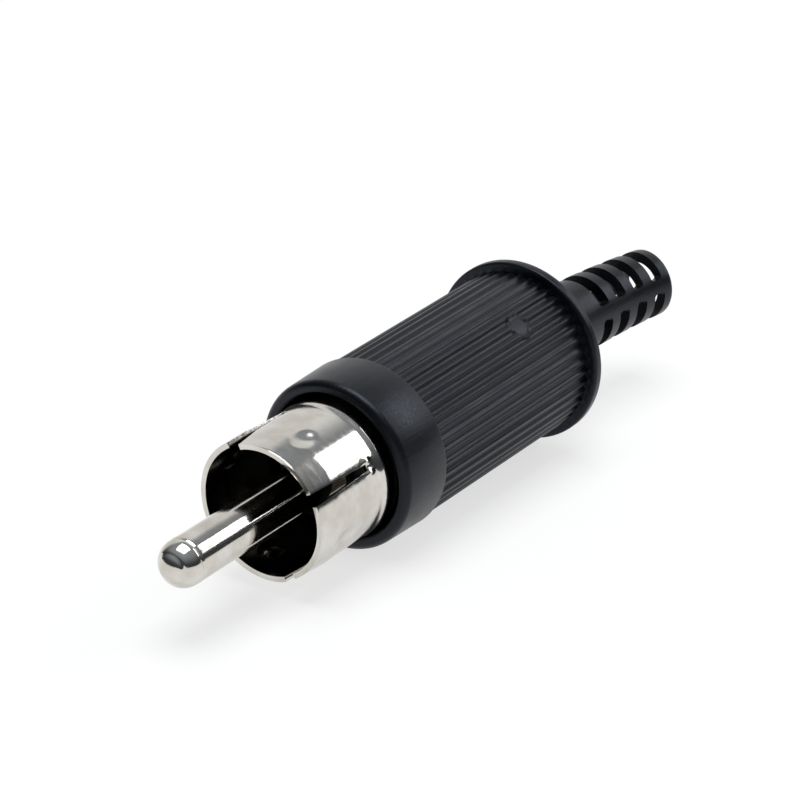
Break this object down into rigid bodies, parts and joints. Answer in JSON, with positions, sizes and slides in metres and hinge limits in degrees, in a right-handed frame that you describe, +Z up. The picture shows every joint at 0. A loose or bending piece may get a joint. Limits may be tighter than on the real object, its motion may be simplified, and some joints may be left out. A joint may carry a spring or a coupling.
{
  "type": "rca plug",
  "caption": "Phono plug with a domed centre pin, a slotted metal sleeve and a ribbed screw-on plastic cover that ends in a slotted cable boot.",
  "frame": {"origin": "middle of the box that holds the plug as it lies, on the surface under it", "axes": "+Z up; the plug's axis runs from the pin at -X to the boot at +X, and rises to the boot by 1.9 degrees because the flange is wider than the collar"},
  "size_m": [0.0552, 0.0134, 0.0134],
  "materials": {
    "black_plastic": "moulded, satin black",
    "nickel_sleeve": "nickel-plated stamped sheet",
    "nickel_pin": "nickel-plated drawn brass",
    "bush_plastic": "moulded black",
    "tinned_lug": "tinned brass sheet",
    "wafer_board": "brown laminated paper board"
  },
  "bodies": {
    "core": {"ground_sleeve": "nickel_sleeve", "ground_lug": "tinned_lug", "centre_lug": "tinned_lug"},
    "pin_group": {"centre_pin": "nickel_pin", "insulating_bush": "bush_plastic", "rear_washer": "wafer_board"},
    "cover": {"screw_cover": "black_plastic"}
  },
  "joints": [
    {"name": "cover_turn", "type": "hinge", "parent": "core", "child": "pin_group", "pos_m": [-0.0184, 0, 0.00571], "axis": [0.9994, 0, 0.0337], "range_deg": [0, 6481]},
    {"name": "cover_travel", "type": "slide", "parent": "pin_group", "child": "cover", "axis": [0.9994, 0, 0.0337], "range_m": [0, 0.018]}
  ],
  "couplings": [
    {"joint": "cover_turn", "follows": "cover_travel", "rad_per_m": 6283.2}
  ]
}
